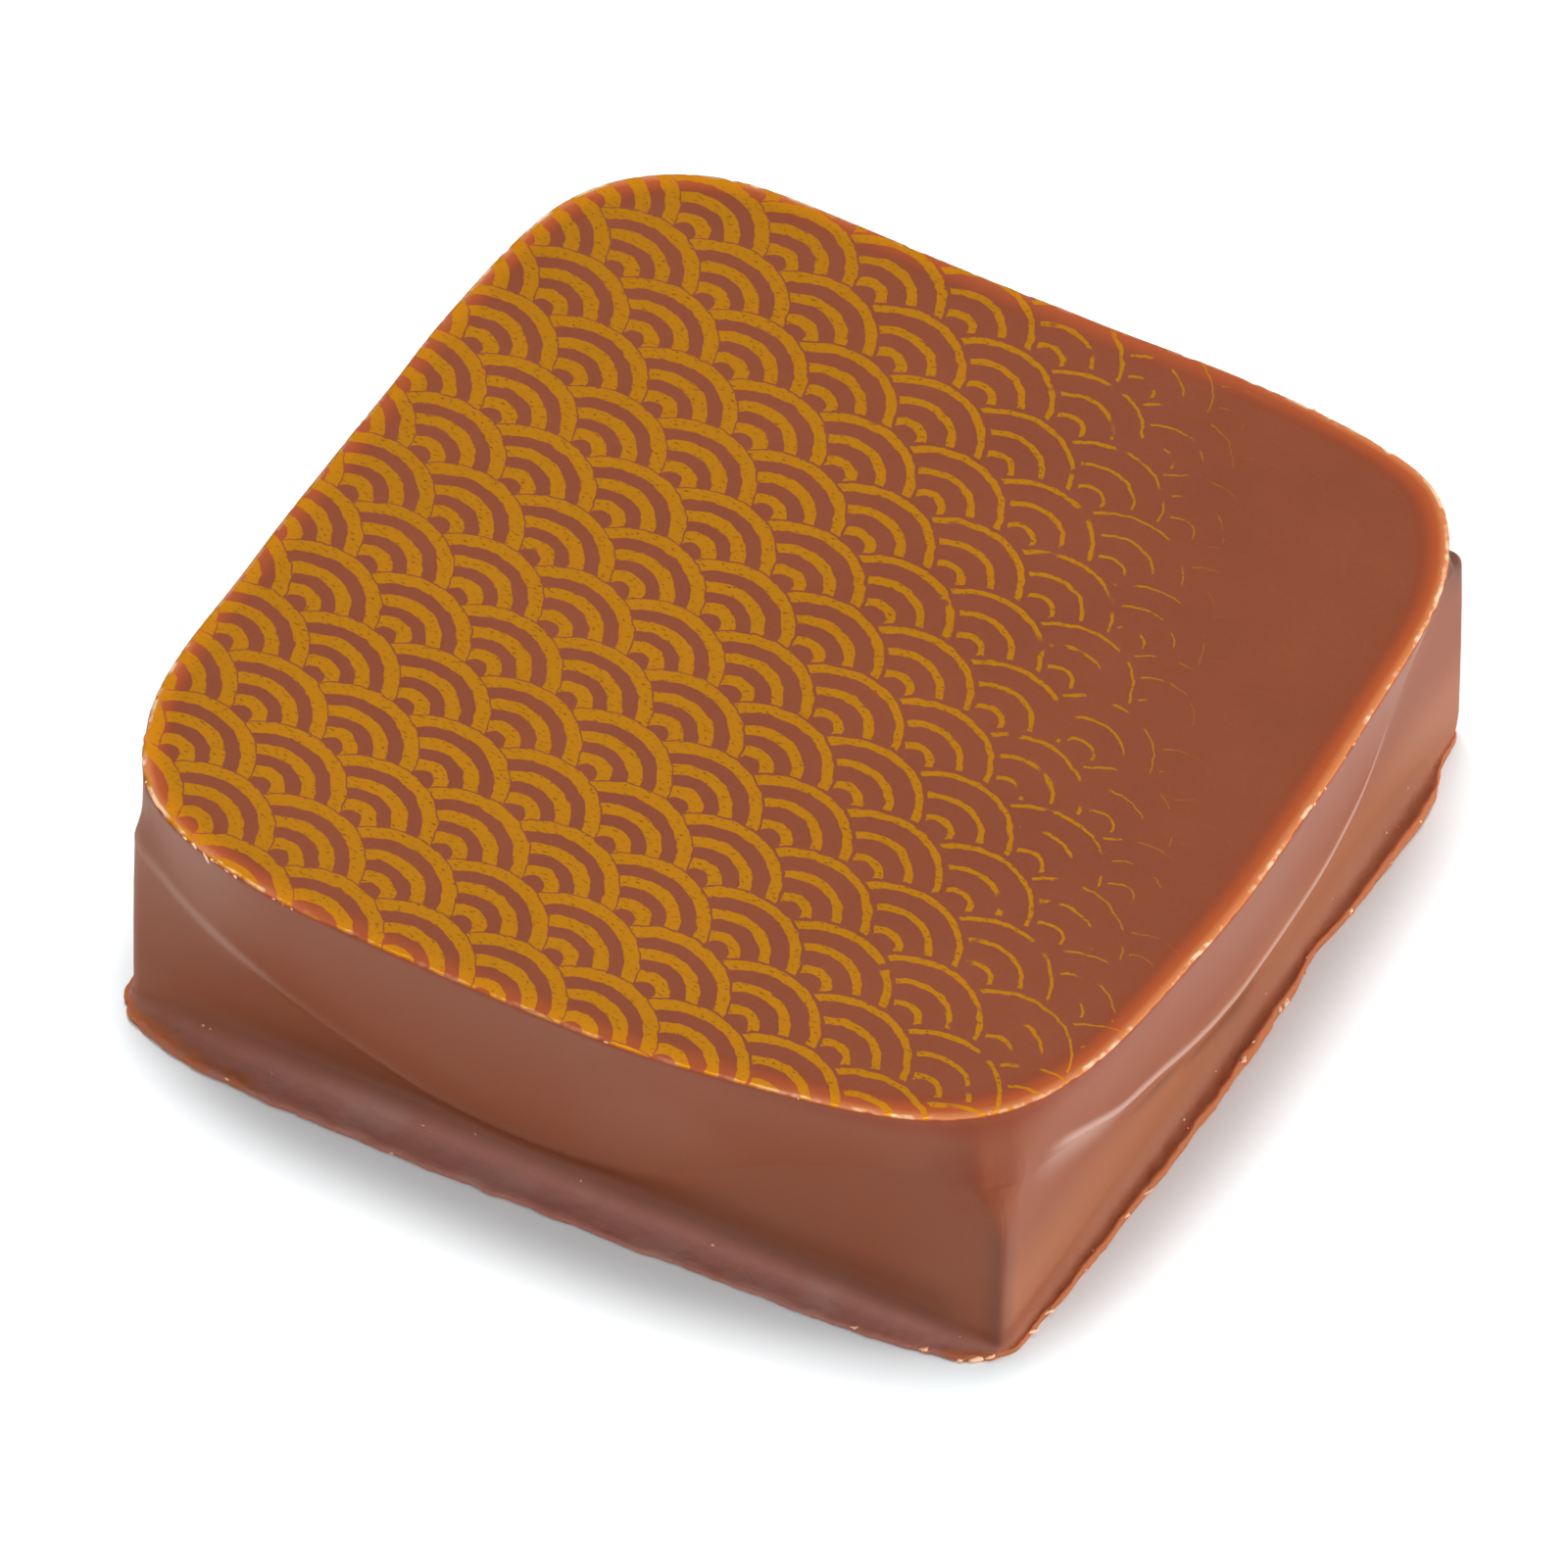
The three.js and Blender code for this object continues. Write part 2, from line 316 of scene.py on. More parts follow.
def buildBody():
    steps = bonbon["steps"]
    even = np.arange(steps) * 2 * math.pi / steps
    angle = even + bonbon["crowding"] / 4 * np.sin(4 * even)
    rings = bodyRings(angle)
    # how strongly the painted glow shows at thin edges: by wall, and fully at the corners
    nearCorner = smooth((along(angle) - 0.3) / 0.5)
    glow = byWall("glow", angle) * (1 - nearCorner) + nearCorner
    warm = byWall("warm", angle)
    bm = bmesh.new()
    bmesh.ops.create_circle(bm, cap_ends=True, cap_tris=True, radius=1, segments=steps)
    names = ("edgeFar", "footShare", "foldLine", "glow", "warm")
    layers = [bm.verts.layers.float.new(name) for name in names]
    farLayer = layers[0]
    stepOf = bm.verts.layers.int.new("step")
    middle = min(bm.verts, key=lambda vertex: vertex.co.length)
    ring = [vertex for vertex in bm.verts if vertex is not middle]
    for vertex in ring:
        vertex[stepOf] = round(math.atan2(vertex.co.y, vertex.co.x) / (2 * math.pi) * steps) % steps
    edges = [edge for edge in bm.edges if middle not in edge.verts]
    middle[farLayer] = 9
    # the edge of the circle is drawn out ring by ring, up the side and in over the top
    for k, (radius, z, edgeFar, share) in enumerate(rings):
        if k:
            made = bmesh.ops.extrude_edge_only(bm, edges=edges)["geom"]
            ring = [item for item in made if isinstance(item, bmesh.types.BMVert)]
            fresh = set(ring)
            edges = [item for item in made
                     if isinstance(item, bmesh.types.BMEdge) and fresh.issuperset(item.verts)]
        line = foldLine(angle, z)
        for vertex in ring:
            step = vertex[stepOf]
            way = Vector((math.cos(angle[step]), math.sin(angle[step]), 0))
            place = way * radius[step] + Vector((0, 0, z[step]))
            out, up = uneven(place, edgeFar[step], share[step]) if z[step] > 0 else (0, 0)
            vertex.co = place + way * out + Vector((0, 0, up))
            for layer, value in zip(layers, (edgeFar, share, line, glow, warm)):
                vertex[layer] = value[step]
    lid = bmesh.ops.edgeloop_fill(bm, edges=edges)["faces"]
    for vertex in bmesh.ops.poke(bm, faces=lid)["verts"]:
        vertex[farLayer] = 9
    bm.verts.layers.int.remove(stepOf)
    bmesh.ops.translate(bm, vec=(*bonbon["blockMiddle"], 0), verts=bm.verts[:])
    bmesh.ops.scale(bm, vec=(mm, mm, mm), verts=bm.verts[:])
    bmesh.ops.recalc_face_normals(bm, faces=bm.faces[:])
    for face in bm.faces:
        face.smooth = True
    return newPiece(bm, "bonbonBody")


def newPiece(bm, name):
    mesh = bpy.data.meshes.new(name)
    bm.to_mesh(mesh)
    bm.free()
    piece = bpy.data.objects.new(name, mesh)
    bpy.context.scene.collection.objects.link(piece)
    return piece


# Pale chips left on the foot and the rim, and a few loose specks
chips = {
    "foot": (  # the wall it is on, place along the wall, length and thickness
        ("right", 1.9, 0.22, 0.1), ("right", 1.5, 0.12, 0.08), ("right", -0.9, 0.16, 0.08),
        ("right", -6.8, 0.3, 0.06), ("right", -7.9, 0.16, 0.06), ("right", 6.1, 0.1, 0.08),
        ("right", 8.4, 0.12, 0.06), ("right", 10.1, 0.06, 0.06), ("right", -12.6, 0.25, 0.05),
        ("right", -13.6, 0.3, 0.05), ("right", -10.4, 0.08, 0.05), ("front", 14.1, 0.25, 0.08),
        ("front", 13.4, 0.1, 0.08), ("front", 12.2, 0.16, 0.08), ("front", 14.6, 0.15, 0.06),
        ("front", -4.6, 0.08, 0.06), ("front", -9.9, 0.06, 0.05), ("front", 9.9, 0.1, 0.05),
        ("back", 3.0, 0.2, 0.1), ("back", -7.0, 0.12, 0.08), ("back", 9.5, 0.25, 0.06),
        ("left", -4.0, 0.2, 0.08), ("left", 6.0, 0.12, 0.08), ("left", 12.0, 0.2, 0.06),
    ),
    "rim": (  # direction in degrees, and length
        (-128.5, 0.2), (-127.2, 0.26), (-126, 0.3), (-124.9, 0.24), (-123.6, 0.28), (-122.6, 0.14),
        (-118.5, 0.26), (-117.4, 0.16), (-116.6, 0.12), (-94.6, 0.1), (-81.5, 0.12), (-80.8, 0.08),
        (-69.7, 0.08), (-62.1, 0.1), (-6.6, 0.12), (6.3, 0.12), (16.2, 0.14), (17.1, 0.1), (19, 0.08),
        (13.8, 0.07), (11.5, 0.08), (9.0, 0.06), (65.3, 0.14), (61.5, 0.2), (-137.5, 0.08), (-135.4, 0.08),
        (-133.1, 0.06), (140, 0.1), (172, 0.08),
    ),
    "rimInset": 0.07,
    "rimThickness": 0.05,
    "specks": 40,
    "speckSize": (0.025, 0.06),
    "askew": 0.2,  # how far each is turned at most, in radians
    "seed": 11,
    "brown": (0.6, 0.25, 0.12, 1),
    "pale": (0.85, 0.52, 0.34, 1),
    "grain": 6000.0,  # per metre
    "grainDepth": 0.00003,
    "roughness": 0.55,
    "shine": 0.2,
}


def buildChips():
    chance = random.Random(chips["seed"])
    places = []  # place, length across the outward way, thickness, and that way
    for wall, at, length, thickness in chips["foot"]:
        turn = list(walls).index(wall) * quarter + math.atan2(at, bonbon["blockHalf"])
        radius, z = (float(value[0]) for value in footPlace(np.array([turn % (4 * quarter)]), 0.97))
        places.append((radius, z * chance.uniform(0.4, 0.9), length, thickness, turn))
    for degrees, length in chips["rim"]:
        turn = math.radians(degrees)
        radius, z = topRadius(turn) - chips["rimInset"], bonbon["height"] - chips["rimInset"]
        places.append((radius, z, length, chips["rimThickness"], turn))
    for _ in range(chips["specks"]):
        turn, share = chance.uniform(0, 4 * quarter), chance.uniform(0.1, 0.9)
        size = chance.uniform(*chips["speckSize"])
        radius, z = (float(value[0]) for value in footPlace(np.array([turn]), share))
        places.append((radius, z, size, size * 0.7, turn))
    bm = bmesh.new()
    shift = Vector((*bonbon["blockMiddle"], 0))
    askew = chips["askew"]
    for radius, z, length, thickness, turn in places:
        middle = Vector((math.cos(turn) * radius, math.sin(turn) * radius, z)) + shift
        stretch = Matrix.Diagonal((thickness, length, thickness * chance.uniform(0.6, 1), 1))
        spin = Matrix.Rotation(turn + chance.uniform(-askew, askew), 4, "Z")
        tilt = Matrix.Rotation(chance.uniform(-askew, askew), 4, "X")
        seat = Matrix.Translation(middle) @ spin @ tilt @ stretch
        made = bmesh.ops.create_icosphere(bm, subdivisions=2, radius=1, matrix=seat)
        for vertex in made["verts"]:
            vertex.co += (vertex.co - middle) * noise.noise(vertex.co / max(length * 0.5, 0.05)) * 0.9
            vertex.co.z = min(max(vertex.co.z, 0.01), bonbon["height"] - 0.002)
    bmesh.ops.scale(bm, vec=(mm, mm, mm), verts=bm.verts[:])
    bmesh.ops.recalc_face_normals(bm, faces=bm.faces[:])
    for face in bm.faces:
        face.smooth = True
    return newPiece(bm, "bonbonChips")


def calc(tree, operation, *values):
    node = tree.nodes.new("ShaderNodeMath")
    node.operation = operation
    for socket, value in zip(node.inputs, values):
        if isinstance(value, (int, float)):
            socket.default_value = value
        else:
            tree.links.new(value, socket)
    return node.outputs[0]


def blendColour(tree, share, first, second):
    node = tree.nodes.new("ShaderNodeMix")
    node.data_type = "RGBA"
    sockets = node.inputs["Factor"], node.inputs[6], node.inputs[7]
    for socket, value in zip(sockets, (share, first, second)):
        if isinstance(value, bpy.types.NodeSocket):
            tree.links.new(value, socket)
        else:
            socket.default_value = value
    return node.outputs[2]


def fromTo(tree, value, low, high, toLow=0.0, toHigh=1.0, eased=True):
    node = tree.nodes.new("ShaderNodeMapRange")
    node.interpolation_type = "SMOOTHSTEP" if eased else "LINEAR"
    tree.links.new(value, node.inputs["Value"])
    for name, number in (("From Min", low), ("From Max", high), ("To Min", toLow), ("To Max", toHigh)):
        node.inputs[name].default_value = number
    return node.outputs["Result"]


def noiseAt(tree, place, scale, detail=2.0, rough=0.5, output="Fac"):
    node = tree.nodes.new("ShaderNodeTexNoise")
    tree.links.new(place, node.inputs["Vector"])
    node.inputs["Scale"].default_value = scale
    node.inputs["Detail"].default_value = detail
    node.inputs["Roughness"].default_value = rough
    return node.outputs[output]


def cocoaGrainGroup():
    # fine speckle of set chocolate: a shade to lay over a colour, and a height for bumps
    group = bpy.data.node_groups.new("cocoaGrain", "ShaderNodeTree")
    group.interface.new_socket("Place", in_out="INPUT", socket_type="NodeSocketVector")
    group.interface.new_socket("Grain per Metre", in_out="INPUT", socket_type="NodeSocketFloat")
    group.interface.new_socket("Shade", in_out="OUTPUT", socket_type="NodeSocketFloat")
    group.interface.new_socket("Height", in_out="OUTPUT", socket_type="NodeSocketFloat")
    inside = group.nodes.new("NodeGroupInput")
    outside = group.nodes.new("NodeGroupOutput")
    fine = noiseAt(group, inside.outputs["Place"], 1.0, 1.0, 0.6)
    group.links.new(inside.outputs["Grain per Metre"], fine.node.inputs["Scale"])
    coarse = noiseAt(group, inside.outputs["Place"], 260.0, 2.0, 0.5)
    shade = calc(group, "ADD", calc(group, "MULTIPLY", fine, 0.35), calc(group, "MULTIPLY", coarse, 0.65))
    group.links.new(fromTo(group, shade, 0.3, 0.7, eased=False), outside.inputs["Shade"])
    group.links.new(fine, outside.inputs["Height"])
    return group


def grainNode(tree, group, place, perMetre):
    node = tree.nodes.new("ShaderNodeGroup")
    node.node_tree = group
    tree.links.new(place, node.inputs["Place"])
    node.inputs["Grain per Metre"].default_value = perMetre
    return node


# Gold scales printed on the top, thinning out to a bare part; lengths in millimetres
goldPrint = {
    "turn": math.radians(24),
    "scaleRadius": 2.75,
    "lines": 3,  # arcs in each scale
    "lineWidth": 0.47,
    "lineInset": 0.3,  # the outermost line from its scale's edge, as a share of the step between lines
    "wobble": 0.09,
    "thinning": (0.93, 0.37),  # the way in which the lines thin out
    "fullFrom": -3.0,
    "bareFrom": 13.0,
    "streaks": (5.0, 13.0, 1.0),  # worn streaks, per millimetre
    "streakTurn": math.radians(38),
}


def goldPrintMask(tree, place):
    # overlapping scales of arcs that thin out towards one side
    turned = tree.nodes.new("ShaderNodeMapping")
    turned.inputs["Scale"].default_value = (1000, 1000, 0)
    tree.links.new(place, turned.inputs["Vector"])
    ragged = noiseAt(tree, turned.outputs["Vector"], 2.2, 1.0, 0.6, "Color")
    spread = tree.nodes.new("ShaderNodeVectorMath")
    spread.operation = "MULTIPLY_ADD"
    tree.links.new(ragged, spread.inputs[0])
    spread.inputs[1].default_value = [goldPrint["wobble"] * 2] * 3
    tree.links.new(turned.outputs["Vector"], spread.inputs[2])
    axes = tree.nodes.new("ShaderNodeVectorRotate")
    axes.rotation_type = "Z_AXIS"
    axes.inputs["Angle"].default_value = goldPrint["turn"]
    tree.links.new(spread.outputs["Vector"], axes.inputs["Vector"])
    split = tree.nodes.new("ShaderNodeSeparateXYZ")
    tree.links.new(axes.outputs["Vector"], split.inputs["Vector"])
    x, y = split.outputs["X"], split.outputs["Y"]

    radius = goldPrint["scaleRadius"]
    row = calc(tree, "FLOOR", calc(tree, "DIVIDE", y, radius / 2))
    dy = calc(tree, "SUBTRACT", y, calc(tree, "MULTIPLY", row, radius / 2))
    odd = calc(tree, "MULTIPLY", calc(tree, "FLOORED_MODULO", row, 2.0), radius)
    dxSame = calc(tree, "WRAP", calc(tree, "SUBTRACT", x, odd), radius, -radius)
    dxNext = calc(tree, "WRAP", calc(tree, "SUBTRACT", x, calc(tree, "ADD", odd, radius)), radius, -radius)

    def distance(dx, up):
        rise = calc(tree, "ADD", dy, up)
        squares = calc(tree, "MULTIPLY", dx, dx), calc(tree, "MULTIPLY", rise, rise)
        return calc(tree, "SQRT", calc(tree, "ADD", *squares))

    front, middle, back = distance(dxNext, radius / 2), distance(dxSame, 0.0), distance(dxNext, -radius / 2)
    inMiddle = calc(tree, "LESS_THAN", middle, radius)
    inFront = calc(tree, "LESS_THAN", front, radius)
    shown = calc(tree, "ADD", calc(tree, "MULTIPLY", middle, inMiddle),
                 calc(tree, "MULTIPLY", back, calc(tree, "SUBTRACT", 1.0, inMiddle)))
    shown = calc(tree, "ADD", calc(tree, "MULTIPLY", front, inFront),
                 calc(tree, "MULTIPLY", shown, calc(tree, "SUBTRACT", 1.0, inFront)))

    # lines at even steps inwards from each scale's edge
    pitch = radius / goldPrint["lines"]
    moved = calc(tree, "ADD", shown, pitch * (0.5 + goldPrint["lineInset"]))
    step = calc(tree, "FLOORED_MODULO", moved, pitch)
    fromLine = calc(tree, "ABSOLUTE", calc(tree, "SUBTRACT", step, pitch * 0.5))
    slant = tree.nodes.new("ShaderNodeSeparateXYZ")
    tree.links.new(turned.outputs["Vector"], slant.inputs["Vector"])
    parts = [calc(tree, "MULTIPLY", slant.outputs[k], share)
             for k, share in enumerate(goldPrint["thinning"])]
    reach = calc(tree, "ADD", *parts)
    thin = fromTo(tree, reach, goldPrint["fullFrom"], goldPrint["bareFrom"], 1.0, 0.0, eased=False)
    half = calc(tree, "MULTIPLY", thin, goldPrint["lineWidth"] / 2)
    ink = calc(tree, "SUBTRACT", half, fromLine)
    mask = fromTo(tree, ink, -0.015, 0.03)
    broken = noiseAt(tree, turned.outputs["Vector"], 0.9, 1.0, 0.5)
    keep = fromTo(tree, calc(tree, "ADD", broken, calc(tree, "MULTIPLY", thin, 0.5)), 0.52, 0.58)
    # short slanting streaks where the ink is thin, with a few worn through
    streaks = tree.nodes.new("ShaderNodeMapping")
    streaks.inputs["Rotation"].default_value = (0, 0, goldPrint["streakTurn"])
    streaks.inputs["Scale"].default_value = goldPrint["streaks"]
    tree.links.new(turned.outputs["Vector"], streaks.inputs["Vector"])
    speck = noiseAt(tree, streaks.outputs["Vector"], 1.0, 1.0, 0.6)
    worn = fromTo(tree, speck, 0.2, 0.26)
    return calc(tree, "MULTIPLY", calc(tree, "MULTIPLY", mask, worn), keep), speck


# Colours are linear, grains and patches are per metre, and levels are heights in metres
chocolate = {
    "brown": (0.176, 0.038, 0.013, 1),
    "light": (0.206, 0.047, 0.017, 1),
    "sideBrown": (0.2, 0.055, 0.024, 1),
    # painted light, for the low part of the right wall
    "sidePaintedLight": (0.26, 0.087, 0.04, 1),
    "bloom": (0.25, 0.105, 0.068, 1),
    # painted highlight on the fold's ridge
    "ridge": (0.43, 0.265, 0.215, 1),
    # painted shade, in the fold's groove and low on the walls
    "groove": (0.09, 0.02, 0.008, 1),
    # painted glow towards the rim, from deep red through orange to tan
    "deepEdgeGlow": (0.21, 0.032, 0.006, 1),
    "thinEdgeGlow": (0.38, 0.07, 0.013, 1),
    "thinnestGlow": (0.47, 0.175, 0.06, 1),
    # painted highlight along the rim
    "rimHighlight": (0.62, 0.41, 0.25, 1),
    "footBrown": (0.4, 0.16, 0.124, 1),
    "footPale": (0.44, 0.23, 0.185, 1),
    "footDark": (0.24, 0.062, 0.025, 1),
    "footWarm": (0.36, 0.105, 0.038, 1),
    # painted red glow by the near upright edge, also used for painted shade under the rim there
    "paintedGlowAndShade": (0.18, 0.033, 0.012, 1),
    # painted shade
    "shade": (0.1, 0.04, 0.026, 1),
    "gold": (0.36, 0.133, 0.0002, 1),
    "goldDark": (0.17, 0.06, 0.001, 1),
    # gold ink lit by the painted glow over the thin edge
    "goldEdgeGlow": (0.54, 0.18, 0.0004, 1),
    "grain": 9000.0,
    "blotches": 1100.0,
    "clouds": 170.0,
    "mottling": 520.0,
    "footGrain": 3500.0,
    "topLevels": (0.00953, 0.00958),  # where the flat top starts
    "sideLevels": (0.0092, 0.0095),  # where the sides end
    "rimLevels": (0.00952, 0.00956),
    "glowAndShadeCentre": (13.9, -15.3, 7.0),  # where the painted red glow and the painted shade under the rim centre, in millimetres
    "edgeFootShade": (15.0, -14.87, 0),  # where shade is painted under the upright edge there
    "rightTipShade": (15.1, 15.2, 8.6),  # where shade is painted on the tip
    "leftTipSheen": (-15.1, -14.9, 8.2),  # where a painted sheen makes it paler
    "through": 0.4,  # how much light spreads under the surface
    "throughDepth": 0.0007,
    "throughColours": (1.0, 0.32, 0.12),  # red spreads the furthest
    "shine": 0.12,
    "roughness": (0.42, 0.48),
    "footRougher": 0.3,
    "footDents": 0.00003,  # their depth in metres
    "inkMetal": 0.5,
}


def attributeOf(tree, name):
    node = tree.nodes.new("ShaderNodeAttribute")
    node.attribute_name = name
    return node.outputs["Fac"]


def distanceTo(tree, place, point):
    node = tree.nodes.new("ShaderNodeVectorMath")
    node.operation = "DISTANCE"
    tree.links.new(place, node.inputs[0])
    node.inputs[1].default_value = [mm * value for value in point]
    return node.outputs["Value"]


def chocolateMaterial(grain):
    material = bpy.data.materials.new("milkChocolate")
    material.use_nodes = True
    tree = material.node_tree
    shader = tree.nodes["Principled BSDF"]
    place = tree.nodes.new("ShaderNodeTexCoord").outputs["Object"]
    split = tree.nodes.new("ShaderNodeSeparateXYZ")
    tree.links.new(place, split.inputs["Vector"])
    height = split.outputs["Z"]
    far, share, line, glowing, warm = (
        attributeOf(tree, name) for name in ("edgeFar", "footShare", "foldLine", "glow", "warm"))
    speckle = grainNode(tree, grain, place, chocolate["grain"])
    blotch = noiseAt(tree, place, chocolate["blotches"], 3.0, 0.6)
    top = fromTo(tree, height, *chocolate["topLevels"])

    # the sides are a little paler than the top, with a painted highlight on the fold's ridge and painted
    # shade in its groove
    colour = blendColour(tree, speckle.outputs["Shade"], chocolate["brown"], chocolate["light"])
    side = fromTo(tree, height, *chocolate["sideLevels"], 1.0, 0.0)
    colour = blendColour(tree, side, colour, chocolate["sideBrown"])
    cloud = noiseAt(tree, place, chocolate["clouds"], 1.0)
    # painted sheen: the left tip is made paler with the bloom colour, on top of the bloom clouds
    leftTipSheen = fromTo(tree, distanceTo(tree, place, chocolate["leftTipSheen"]), 0.0, 0.007, 0.8, 0.0)
    bloomCloudsAndSheen = calc(tree, "MAXIMUM", fromTo(tree, cloud, 0.45, 0.75, 0.0, 0.2), leftTipSheen)
    colour = blendColour(tree, calc(tree, "MULTIPLY", side, bloomCloudsAndSheen), colour, chocolate["bloom"])
    # painted light low on the right wall, and painted shade low on the others
    low = fromTo(tree, height, 0.0045, 0.002, 0.0, 0.9)
    low = calc(tree, "MULTIPLY", low, fromTo(tree, warm, 0.8, 1.0))
    colour = blendColour(tree, low, colour, chocolate["sidePaintedLight"])
    low = fromTo(tree, height, 0.0026, 0.0014, 0.0, 0.3)
    low = calc(tree, "MULTIPLY", low, fromTo(tree, warm, 0.6, 0.2))
    colour = blendColour(tree, low, colour, chocolate["groove"])
    # painted highlight along the ridge and painted shade in the groove
    colour = blendColour(tree, fromTo(tree, line, 0.0, 0.05, 0.0, 0.7), colour, chocolate["ridge"])
    colour = blendColour(tree, fromTo(tree, line, -0.07, -0.01, 0.5, 0.0), colour, chocolate["groove"])

    # painted light and shade: a red glow painted by the near corner's upright edge and shade painted under
    # the rim there, then painted shade at the foot of that edge and on the right tip
    nearCorner = distanceTo(tree, place, chocolate["glowAndShadeCentre"])
    paintedGlowAndShade = fromTo(tree, nearCorner, 0.0004, 0.002, 0.7, 0.0)
    paintedGlowAndShade = calc(tree, "MULTIPLY", paintedGlowAndShade, fromTo(tree, blotch, 0.3, 0.65))
    # painted shade under the rim near that corner
    underRimShade = fromTo(tree, far, 0.2, 1.2, 0.8, 0.0)
    underRimShade = calc(tree, "MULTIPLY", underRimShade, fromTo(tree, nearCorner, 0.002, 0.012, 1.0, 0.0))
    paintedGlowAndShade = calc(tree, "MULTIPLY", calc(tree, "MAXIMUM", paintedGlowAndShade, underRimShade), side)
    colour = blendColour(tree, paintedGlowAndShade, colour, chocolate["paintedGlowAndShade"])
    # painted shade at the foot of the near upright edge and on the right tip
    flat = tree.nodes.new("ShaderNodeMapping")
    flat.inputs["Scale"].default_value = (1, 1, 0)
    tree.links.new(place, flat.inputs["Vector"])
    edge = distanceTo(tree, flat.outputs["Vector"], chocolate["edgeFootShade"])
    edge = fromTo(tree, edge, 0.0001, 0.0009, 0.5, 0.0)
    edge = calc(tree, "MULTIPLY", edge, fromTo(tree, height, 0.0065, 0.0045))
    paintedShade = fromTo(tree, distanceTo(tree, place, chocolate["rightTipShade"]), 0.0006, 0.0025, 0.9, 0.0)
    paintedShade = calc(tree, "MAXIMUM", paintedShade, edge)
    colour = blendColour(tree, calc(tree, "MULTIPLY", paintedShade, side), colour, chocolate["shade"])

    # the foot has a dull mottled bloom, with warm patches where it is thin, and painted shade darkening its
    # lip
    onFoot = fromTo(tree, share, 0.03, 0.38)
    mottled = fromTo(tree, noiseAt(tree, place, chocolate["mottling"], 1.0), 0.5, 0.66, 0.0, 0.45)
    bloom = blendColour(tree, mottled, chocolate["footBrown"], chocolate["footPale"])
    dull = calc(tree, "MULTIPLY", onFoot, fromTo(tree, warm, 0.0, 1.0, 0.9, 0.2))
    colour = blendColour(tree, dull, colour, bloom)
    patches = calc(tree, "ADD", calc(tree, "SUBTRACT", blotch, 0.62), calc(tree, "MULTIPLY", warm, 0.75))
    patches = fromTo(tree, patches, -0.02, 0.3)
    outward = calc(tree, "ADD", share, calc(tree, "MULTIPLY", warm, 0.45))
    patches = calc(tree, "MULTIPLY", patches, fromTo(tree, outward, 0.75, 1.05))
    warmer = calc(tree, "MAXIMUM", fromTo(tree, share, 0.75, 0.95), fromTo(tree, warm, 0.95, 0.8))
    thin = blendColour(tree, warmer, chocolate["footDark"], chocolate["footWarm"])
    colour = blendColour(tree, calc(tree, "MULTIPLY", patches, 0.9), colour, thin)
    # painted shade on the foot's lip
    lip = calc(tree, "MULTIPLY", fromTo(tree, share, 0.93, 0.99), fromTo(tree, warm, 0.0, 1.0, 0.3, 0.05))
    colour = blendColour(tree, lip, colour, chocolate["shade"])

    # painted glow where light shows through towards the rim: dark red, then orange, then tan
    glowing = calc(tree, "MULTIPLY", glowing, top)
    glow = calc(tree, "MULTIPLY", fromTo(tree, far, 0.3, 1.3, 1.0, 0.0), glowing)
    colour = blendColour(tree, calc(tree, "MULTIPLY", glow, 0.75), colour, chocolate["deepEdgeGlow"])
    glow = calc(tree, "MULTIPLY", fromTo(tree, far, 0.12, 0.85, 1.0, 0.0), glowing)
    colour = blendColour(tree, calc(tree, "MULTIPLY", glow, 0.85), colour, chocolate["thinEdgeGlow"])
    pale = calc(tree, "MULTIPLY", fromTo(tree, glowing, 0.5, 1.0), top)
    thinnestGlow = calc(tree, "MULTIPLY", fromTo(tree, far, 0.0, 0.3, 1.0, 0.0), pale)
    colour = blendColour(tree, calc(tree, "MULTIPLY", thinnestGlow, 0.75), colour, chocolate["thinnestGlow"])

    # gold ink, richer over the thin edge where the painted glow lights it
    mask, speck = goldPrintMask(tree, place)
    mask = calc(tree, "MULTIPLY", mask, top)
    ink = blendColour(tree, fromTo(tree, speck, 0.28, 0.42), chocolate["goldDark"], chocolate["gold"])
    ink = blendColour(tree, calc(tree, "MULTIPLY", glow, 0.6), ink, chocolate["goldEdgeGlow"])
    colour = blendColour(tree, mask, colour, ink)

    # a painted highlight: a pale broken line right along the rim, stronger where the painted glow is full
    rim = fromTo(tree, far, 0.0, 0.09, 1.0, 0.0)
    rim = calc(tree, "MULTIPLY", rim, fromTo(tree, height, *chocolate["rimLevels"]))
    rim = calc(tree, "MULTIPLY", rim, calc(tree, "ADD", calc(tree, "MULTIPLY", pale, 0.85), 0.15))
    rim = calc(tree, "MULTIPLY", rim, fromTo(tree, blotch, 0.47, 0.62))
    colour = blendColour(tree, rim, colour, chocolate["rimHighlight"])
    tree.links.new(colour, shader.inputs["Base Color"])

